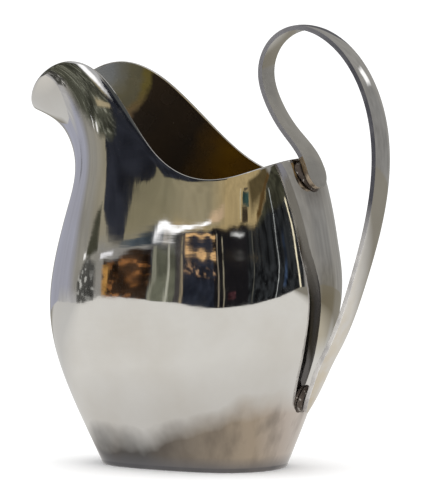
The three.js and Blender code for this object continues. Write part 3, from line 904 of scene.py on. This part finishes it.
CARDS = [
    Card("grey_tent", [(-182, -40, 91), (182, -40, 91)], (0.31, 0.302, 0.285), taper=0.1, soft=0.1),
    Card("pale_top", [(-182, 62, 92), (182, 62, 92)], (0.75, 0.75, 0.75), taper=0.1, soft=8),
    Card("lavender_left", [(-168, -20, 13), (-140, -20, 14), (-125, -20, 30), (-98, -20, 30)],
         (0.4, 0.41, 0.49), taper=12, soft=4, mottle=0.04),
    Card("pale_left", [(-130, -14, 0), (-82, -14, -1)], (0.52, 0.52, 0.53), taper=6, soft=3),
    Card("grey_left", [(-104, -2, 24), (-77, -2, 24)], (0.3, 0.29, 0.26), taper=6, soft=4, mottle=0.12),
    Card("pale_behind", [(106, -8, 26), (138, -8, 26)], (0.26, 0.256, 0.247), taper=6, soft=5, mottle=0.12),
    Card("dim_behind", [(162, 8, 26), (182, 8, 26)], (0.1, 0.1, 0.11), taper=3, soft=4),
    Card("lamp_behind", [(87.5, 32, 40), (96.5, 32, 40)], (1.2, 1.2, 1.2), taper=2, soft=2, distance=0.105),
    Card("pale_above_lip", [(-90, 19, 54), (-64, 22, 54)], (0.52, 0.53, 0.55), taper=4, soft=5),
    Card("tan_ceiling", [(-64, 5, 48), (54, 9, 48)], (0.44, 0.34, 0.175), taper=5, soft=2),
    Card("dull_tan", [(-92, 4, 26), (-20, 9, 26)], (0.33, 0.29, 0.19), taper=16, soft=2),
    Card("olive_left", [(-80, 4.5, 14), (-54, 6, 15)], (0.25, 0.225, 0.145), taper=9, soft=2),
    Card("dark_wedge",
         [(-82, 9, 14), (-80.5, 6.5, 15.5), (-77, 5.4, 20), (-73.2, 5.3, 24), (-72.8, 12.6, 24.5),
          (-70, 11.9, 27), (-66.5, 11, 42), (-63, 12.2, 42), (-59, 13.5, 40), (-50, 17, 34),
          (-44, 20.5, 34), (-20, 22.5, 34)],
         (0.02, 0.022, 0.03), taper=0.8, soft=0.8, mottle=0.5),
    Card("dim_over_lip", [(-64, 30, 66), (-30, 30, 66)], (0.08, 0.085, 0.085), taper=2, soft=4),
    Card("lip_shade",
         [(-116, 8, 20), (-106, 10.8, 26), (-98, 14, 32), (-91.5, 16.5, 36.5), (-82, 18.3, 36.5),
          (-78, 19.3, 33), (-72, 20.5, 30)],
         (0.06, 0.062, 0.047), taper=2, soft=1.5, mottle=0.6, flecks=(0.21, 0.215, 0.175), distance=0.15),
    Card("lip_beige", [(-80.6, 23.7, 25.6), (-77.9, 25, 27), (-72.5, 27.5, 29.4)],
         (0.4, 0.34, 0.22), soft=0.6, mottle=0.2, distance=0.149),
    Card("lip_spark", [(-87, 18.3, 19.8), (-86, 18.3, 19.8)],
         (1.1, 1.1, 1.1), taper=0.3, soft=0.3, distance=0.148),
    Card("lip_dash", [(-84.2, 18.6, 20.2), (-83, 18.6, 20.2)],
         (1.1, 1.1, 1.1), taper=0.3, soft=0.3, distance=0.148),
    Card("slate_left", [(-74, 5.2, 5.8), (-69, 5.3, 6.8), (-63, 5.3, 7.1)],
         (0.06, 0.08, 0.1), taper=0.6, soft=0.3, mottle=0.4),
    Card("olive_streak", [(-90.5, 2.6, 4.5), (-88, 2.8, 6.2), (-84, 3.5, 8), (-82, 4, 8.5)],
         (0.06, 0.06, 0.042), taper=0.8, soft=0.8),
    Card("clutter_left", [(-98, -7, 0.5), (-90, -6, 3.5), (-82, -5, 3)],
         (0.07, 0.07, 0.065), taper=2, soft=1, mottle=0.4, flecks=(0.5, 0.5, 0.48)),
    Card("navy_front", [(-78, -30, 3), (-66, -30, 5.3), (-54, -30, 6), (-28, -30, 9.5)],
         (0.02, 0.024, 0.036), soft=0.6, mottle=0.5),
    Card("dark_front", [(-34, -30, 9.2), (-16, -30, 10.8), (6, -30, 12.4)],
         (0.011, 0.0105, 0.012), soft=0.8),
    Card("olive_right", [(18, 10, 12.5), (45, 10, 20), (72, 10, 36), (94, 10, 46)],
         (0.05, 0.05, 0.034), taper=1.5, soft=1.5, mottle=0.4),
    Card("brown_right", [(12, 12.4, 26), (40, 18, 34), (68, 30, 44)], (0.1, 0.075, 0.035), taper=7, soft=3),
    Card("amber_edge", [(22, 12.3, 14.5), (45, 19, 23), (66, 30, 35)], (0.1, 0.06, 0.022), taper=3, soft=1),
    Card("dark_right", [(3, -30, 12.2), (22, -30, 12.6), (45, -30, 17), (88, -30, 20)],
         (0.02, 0.022, 0.024), taper=2, soft=1.5, mottle=0.7),
    Card("blue_right", [(54, -3, 12), (60, -3, 13)],
         (0.035, 0.055, 0.1), taper=1.5, soft=3, lean=6, mottle=0.7),
    Card("warm_shelf", [(-79.5, -12, 2.8), (-76, -12, 3.6), (-71, -12, 5), (-65.8, -12, 5.2)],
         (0.035, 0.021, 0.013), taper=0.6, soft=0.4, mottle=0.7, flecks=(0.3, 0.13, 0.045)),
    Card("orange_things", [(-80, -2, 2.5), (-76.8, -2, 2.7)],
         (0.5, 0.27, 0.08), taper=0.6, soft=0.4, mottle=0.5, flecks=(0.05, 0.03, 0.02)),
    Card("green_panel", [(-66, -12, 5.2), (-58, -12, 5.4)],
         (0.13, 0.135, 0.1), taper=0.5, soft=0.4, mottle=0.4),
    Card("brown_panel", [(-58.4, -12, 5.6), (-55.3, -12, 5.8)],
         (0.06, 0.055, 0.055), taper=0.4, soft=0.4, mottle=0.3),
    Card("small_things", [(-55, 1.4, 4.9), (-31, 1, 5)],
         (0.02, 0.022, 0.03), taper=1.5, soft=1, mottle=0.5, flecks=(0.42, 0.26, 0.15)),
    Card("warm_line", [(-54, 5.1, 5.7), (-31, 6.9, 7.5)], (0.95, 0.6, 0.28), soft=0.2),
    post("pale_post_left", -65.4, -12, 5.2, (0.28, 0.28, 0.22)),
    post("bright_post_left", -61, -12, 5.3, (0.5, 0.5, 0.42)),
    post("warm_post_left", -55.2, -12, 5.6, (0.36, 0.3, 0.2)),
    post("pink_post_middle", -29.6, -12, 8, (0.3, 0.26, 0.2)),
    post("cream_post_middle", -24.4, -12, 8.2, (0.42, 0.38, 0.28)),
    post("dim_post", 9, -12, 11, (0.12, 0.12, 0.1), lean=4),
    post("pale_post_right", 43, -12, 22, (0.55, 0.58, 0.58), lean=12),
    Card("cream_post_right", [(81.7, -14, 19), (84.5, -14, 19)], (1.2, 1.1, 0.82), taper=0.9, lean=-5),
    Card("teal_patch", [(1, 14.6, 19.3), (12, 14.8, 19.6)],
         (0.035, 0.075, 0.068), taper=1.2, soft=0.8, lean=4, mottle=0.5),
    Card("patch_foot", [(-1.5, 12, 15), (8.5, 12, 15.2)],
         (0.06, 0.045, 0.03), taper=1.2, soft=0.6, lean=1.5, mottle=0.4),
    Card("patch_head", [(5, 19, 21.2), (14, 19.3, 21.6)],
         (0.06, 0.052, 0.04), taper=2, soft=0.7, lean=2, mottle=0.4),
    post("patch_line", -3, 12, 20, (0.62, 0.57, 0.42), lean=5),
    Card("red_things", [(-21, -9, -4.5), (-11, -9, -3.5)],
         (0.05, 0.02, 0.024), taper=2, soft=1, mottle=0.6, flecks=(0.2, 0.09, 0.09)),
    Card("white_streak", [(-12.5, 6.4, 7.2), (6, 6.9, 7.8)],
         (0.95, 0.97, 0.97), taper=7, soft=0.4, distance=0.3),
    Card("window",
         [(-66.5, 5.3, 6.6), (-60, 5.5, 6.8), (-56, 6, 7.1), (-53, 6.5, 7.4), (-43.5, 7.9, 8.7),
          (-33, 10.1, 10.8)],
         (1.6, 1.63, 1.7), taper=0.8, soft=0.35, mottle=0.15),
    Card("window_glow", [(-38, 9.4, 11.6), (-20, 11.6, 13.8)], (0.62, 0.46, 0.3), taper=5, soft=0.8),
    Card("white_dash", [(-81, 2.9, 3.7), (-75.5, 4, 4.8)], (1, 1, 1.05), taper=0.8, soft=0.3),
    Card("spark", [(-92.8, 2.8, 4), (-90.4, 2.8, 4)], (1.1, 1.1, 1.1), taper=0.6, soft=0.4),
    Card("lamp_lip", [(-80, 24, 35), (-70.5, 24, 35)], (1.35, 1.36, 1.4), taper=2.5, soft=3),
    Card("lamp_over_loop", [(12, 50, 62), (22, 50, 62)], (1.6, 1.6, 1.65), taper=2, soft=2),
    Card("lamp_over_top", [(-130, 52, 70), (-104, 52, 70)], (1.6, 1.6, 1.65), taper=3, soft=3),
]
CARD_GLOW = 1.1
CARD_DISTANCE = 10.0
CARD_LAYER = 0.1
CARD_CENTRE = np.array([0, 0, 0.08])
CARD_COLUMNS = 33
CARD_ROWS = 15
MOST_SOFT_SHARE = 0.3
MOTTLE_SIZE = 0.7
FLECK_SIZE = 0.36
FLECK_STRETCH = (1, 1, 3.5)
# How far, in degrees, a card's outline wanders off its stations, over what distance, and how far apart two
# cards lie in the noise that it follows
WANDER = 0.5
WANDER_LENGTH = 5
WANDER_LAYER = 3.7


def card_material(card):
    """Uneven glow that fades out towards the card's edges."""
    material, tree, shader = new_material(card.name)
    tree.nodes.remove(shader)
    nearness = (card.distance or CARD_DISTANCE) / CARD_DISTANCE
    colour = (*card.colour, 1)
    if card.flecks:
        specks = spread(tree, clouds(tree, nearness * FLECK_SIZE, 2, FLECK_STRETCH), 0.55, 0.62)
        colour = mixed(tree, specks, card.colour, card.flecks)
    dull, bright = CARD_GLOW * (1 - card.mottle), CARD_GLOW * (1 + card.mottle)
    strength = spread(tree, clouds(tree, nearness * MOTTLE_SIZE, 3), 0.35, 0.65, dull, bright)
    glow = add_node(tree, "ShaderNodeEmission", {"Color": colour, "Strength": strength})
    cover = add_node(tree, "ShaderNodeAttribute", attribute_name="cover").outputs["Fac"]
    clear = add_node(tree, "ShaderNodeBsdfTransparent")
    blend = add_node(tree, "ShaderNodeMixShader", {0: cover, 1: clear.outputs[0], 2: glow.outputs[0]})
    fill(tree, tree.nodes["Material Output"].inputs["Surface"], blend.outputs[0])
    material.cycles.emission_sampling = "NONE"
    return material


def wander(turn, lift, layer):
    """Smooth shift in degrees for each direction, the same on every run."""
    shifts = [
        noise.noise(Vector((a / WANDER_LENGTH, b / WANDER_LENGTH, WANDER_LAYER * layer)))
        for a, b in zip(turn.ravel(), lift.ravel())
    ]
    return WANDER * np.array(shifts).reshape(turn.shape)


def card_directions(card, layer):
    """Azimuths and elevations of the card's grid, in degrees."""
    stations = np.array(card.stations, float)
    left, right = stations[0, 0], stations[-1, 0]
    across = np.linspace(left + card.taper, right - card.taper, CARD_COLUMNS)
    azimuths = np.array([left, *across, right])
    low = np.interp(azimuths, stations[:, 0], stations[:, 1])
    high = np.interp(azimuths, stations[:, 0], stations[:, 2])
    soft = np.minimum(card.soft, MOST_SOFT_SHARE * (high - low))
    shares = np.linspace(0, 1, CARD_ROWS)[:, None]
    between = low + soft + shares * (high - low - 2 * soft)
    lift = np.vstack([low, between, high])
    turn = azimuths + card.lean * (lift - low) / (high - low)
    return turn + wander(turn, lift, layer), lift + wander(lift, turn, layer)


def in_polish_only(sheet):
    """Hides a sheet from everything but reflections."""
    sheet.visible_camera = False
    sheet.visible_diffuse = False
    sheet.visible_shadow = False


def make_card(card, layer):
    """One curved card, seen by reflections alone."""
    turn, lift = card_directions(card, layer)
    rows, columns = turn.shape
    turn, lift = np.radians(turn), np.radians(lift)
    ahead = np.cos(turn) * np.cos(lift)
    aside = np.sin(turn) * np.cos(lift)
    points = ahead[..., None] * TOWARDS_CAMERA + aside[..., None] * TO_THE_RIGHT
    points[..., 2] += np.sin(lift)
    points = CARD_CENTRE + (card.distance or CARD_DISTANCE - layer * CARD_LAYER) * points
    faces = [
        (r * columns + c, r * columns + c + 1, (r + 1) * columns + c + 1, (r + 1) * columns + c)
        for r in range(rows - 1)
        for c in range(columns - 1)
    ]
    mesh = bpy.data.meshes.new(card.name)
    mesh.from_pydata([tuple(point) for point in points.reshape(-1, 3)], [], faces)
    cover = np.zeros((rows, columns))
    cover[1:-1, 1:-1] = 1
    mesh.attributes.new("cover", "FLOAT", "POINT").data.foreach_set("value", cover.ravel())
    mesh.materials.append(card_material(card))
    made = add_object(card.name, mesh)
    in_polish_only(made)


# The floor: a pale table top whose front edge lies before the jug, fading out behind it. The polish sees a
# dimmer sheet in its place, as a lens that burns the floor out white would show it. Outlines are places in
# metres to the camera's right of the jug and from it towards the camera.
FLOOR_OUTLINE = [(-3, 0.28), (1.5, 0.28), (1.5, -0.6), (-3, -0.6)]
TABLE_OUTLINE = [
    (-0.9, 0),
    (-1.2, 0.12),
    (-1.65, 0.27),
    (-1.5, 0.48),
    (-0.6, 0.335),
    (-0.3, 0.27),
    (1.5, 0.28),
    (1.5, -0.6),
    (-0.8, -0.6),
]
GRAIN = (40 * MM, 3)
FLOOR_COLOUR = (0.98, 0.98, 0.98)
FLOOR_SHADE = (0.96, 0.96, 0.96)
FLOOR_ROUGHNESS = 0.9
FLOOR_FADE = (0.07, 0.4)
TABLE_GLOW = (0.86, 0.848, 0.815)
TABLE_SHADE = (0.82, 0.805, 0.77)
TABLE_UNDER_JUG = (0.7, 0.685, 0.66)
TABLE_FAR = (0.68, 0.675, 0.66)
TABLE_BEHIND = (0.29, 0.272, 0.23)
# Where its shades set in: round the jug's middle, away from the camera, and away past the handle
UNDER_JUG_REACH = (0.045, 0.11)
FAR_START = (0.02, 0.12)
BEHIND_START = (0.14, 0.28)
PAST_HANDLE = 0.6 * TO_THE_RIGHT - 0.8 * TOWARDS_CAMERA


def floor_sheet(name, material, outline):
    """A flat sheet on the ground."""
    corners = [aside * TO_THE_RIGHT + ahead * TOWARDS_CAMERA for aside, ahead in outline]
    mesh = bpy.data.meshes.new(name)
    mesh.from_pydata([tuple(corner) for corner in corners], [], [range(len(corners))])
    mesh.materials.append(material)
    sheet = add_object(name, mesh)
    return sheet


def make_floor():
    """The white floor, as the camera sees it."""
    material, tree, shader = new_material("pale_floor")
    fill(tree, shader.inputs["Base Color"], mixed(tree, clouds(tree, *GRAIN), FLOOR_COLOUR, FLOOR_SHADE))
    fill(tree, shader.inputs["Roughness"], FLOOR_ROUGHNESS)
    fill(tree, shader.inputs["Specular IOR Level"], 0)
    fill(tree, shader.inputs["Alpha"], spread(tree, along(tree, -TOWARDS_CAMERA), *FLOOR_FADE, 1, 0))
    floor = floor_sheet("floor", material, FLOOR_OUTLINE)
    floor.visible_glossy = False


def make_table():
    """The floor as the polish sees it: shaded near the foot and behind the jug, and dim behind the handle."""
    material, tree, shader = new_material("table_in_polish")
    tree.nodes.remove(shader)
    colour = mixed(tree, clouds(tree, *GRAIN), TABLE_GLOW, TABLE_SHADE)
    colour = mixed(tree, near(tree, (0, 0, 0), *UNDER_JUG_REACH), colour, TABLE_UNDER_JUG)
    far = spread(tree, along(tree, -TOWARDS_CAMERA), *FAR_START)
    colour = mixed(tree, far, colour, TABLE_FAR)
    behind = spread(tree, along(tree, PAST_HANDLE), *BEHIND_START)
    colour = mixed(tree, behind, colour, TABLE_BEHIND)
    glow = add_node(tree, "ShaderNodeEmission", {"Color": colour})
    fill(tree, tree.nodes["Material Output"].inputs["Surface"], glow.outputs[0])
    material.cycles.emission_sampling = "NONE"
    in_polish_only(floor_sheet("table_in_polish", material, TABLE_OUTLINE))


WORLD_STRENGTH = 1.19


def make_world():
    """Even white light from all round."""
    world = bpy.data.worlds.new("white_studio")
    world.use_nodes = True
    background = world.node_tree.nodes["Background"]
    background.inputs["Color"].default_value = (1, 1, 1, 1)
    background.inputs["Strength"].default_value = WORLD_STRENGTH
    bpy.context.scene.world = world
    bpy.context.scene.view_settings.view_transform = "Standard"


LAMP_HEIGHT = 1.2
LAMP_SIZE = 1.5
LAMP_WATTS = 5


def make_lamp():
    """A broad soft lamp overhead, which lights the floor and is left out of the polish."""
    data = bpy.data.lights.new("soft_lamp", "AREA")
    data.size = LAMP_SIZE
    data.energy = LAMP_WATTS
    lamp = add_object("soft_lamp", data)
    lamp.location = (0, 0, LAMP_HEIGHT)
    lamp.visible_glossy = False


def make_camera():
    """The photograph's camera, turned aside and down so that the jug stands where it does in the picture."""
    data = bpy.data.cameras.new("camera")
    data.sensor_fit = "HORIZONTAL"
    data.lens = FOCAL_PIXELS * data.sensor_width / IMAGE_WIDTH
    camera = add_object("camera", data)
    camera.location = CAMERA_DISTANCE * TOWARDS_CAMERA + np.array([0, 0, CAMERA_HEIGHT])
    aside = (IMAGE_WIDTH / 2 - JUG_AXIS_U) / FOCAL_PIXELS
    down = (IMAGE_HEIGHT / 2 - EYE_LEVEL_V) / FOCAL_PIXELS
    forward = Vector(aside * TO_THE_RIGHT - TOWARDS_CAMERA - down * np.array(UP))
    camera.rotation_euler = forward.to_track_quat("-Z", "Y").to_euler()
    bpy.context.scene.camera = camera


make_camera()
make_world()
make_lamp()
make_floor()
make_table()
for layer, card in enumerate(CARDS):
    make_card(card, layer)
body = make_body()
base = make_base()
handle = make_handle()
solders = make_solders()
bead = make_base_bead()
dress(body, base, handle, solders, bead)
